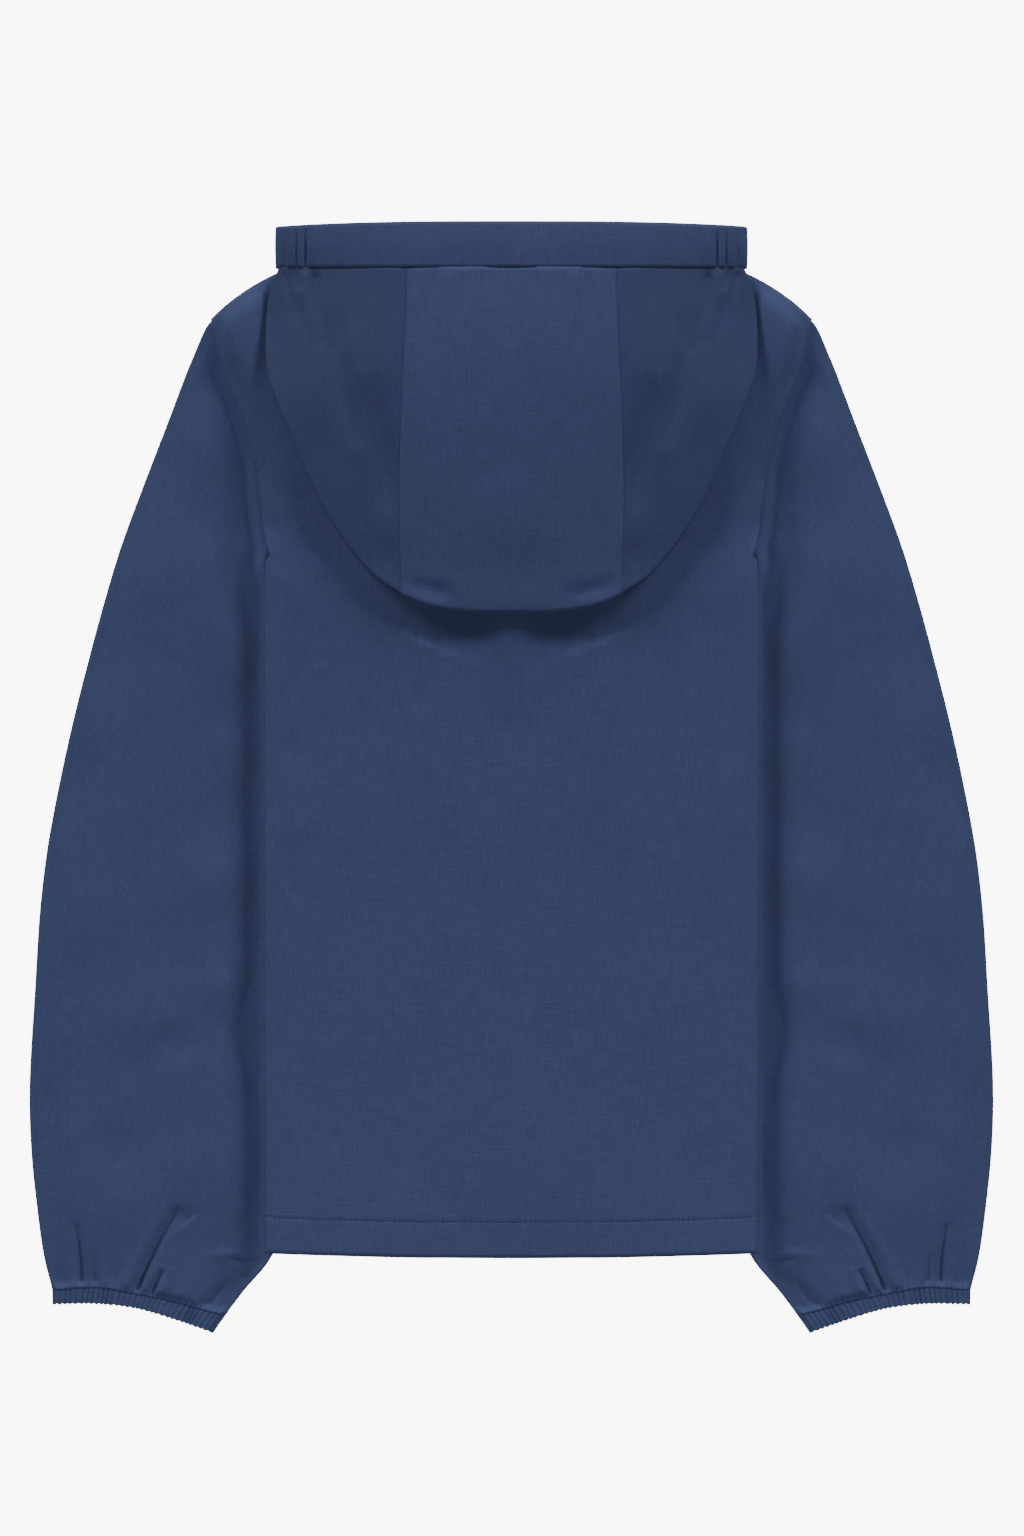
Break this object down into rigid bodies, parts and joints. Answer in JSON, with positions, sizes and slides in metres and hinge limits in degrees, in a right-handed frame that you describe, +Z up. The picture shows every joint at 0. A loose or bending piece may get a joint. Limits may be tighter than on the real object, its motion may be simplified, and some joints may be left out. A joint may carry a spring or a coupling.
{
  "type": "kids raincoat",
  "caption": "Child's hooded raincoat laid face down, sides tucked in, hood over the back, elastic cuffs, zip front underneath.",
  "frame": {"origin": "on the table, under the middle of the laid-out coat's length and width", "axes": "+X to the wearer's right, +Y from the hem to the hood, +Z up from the table, out of the wearer's back"},
  "size_m": [0.5294, 0.6104, 0.0181],
  "materials": {
    "shell_cloth": "satin",
    "zip_tape": "matte",
    "zip_hardware": "gloss"
  },
  "bodies": {
    "garment": {"back": "shell_cloth", "front_left": "shell_cloth", "front_right": "shell_cloth", "sleeve_left": "shell_cloth", "sleeve_right": "shell_cloth", "cuff_left": "shell_cloth", "cuff_right": "shell_cloth", "hood_centre": "shell_cloth", "hood_side_left": "shell_cloth", "hood_side_right": "shell_cloth", "hood_band": "shell_cloth", "zip_tape_left": "zip_tape", "zip_tape_right": "zip_tape", "zip_slider": "zip_hardware"},
    "pull": {"zip_pull": "zip_hardware"}
  },
  "joints": [
    {"name": "pull_hinge", "type": "hinge", "parent": "garment", "child": "pull", "pos_m": [0, 0.208, 0.00075], "axis": [1, 0, 0], "range_deg": [0, 170]}
  ]
}
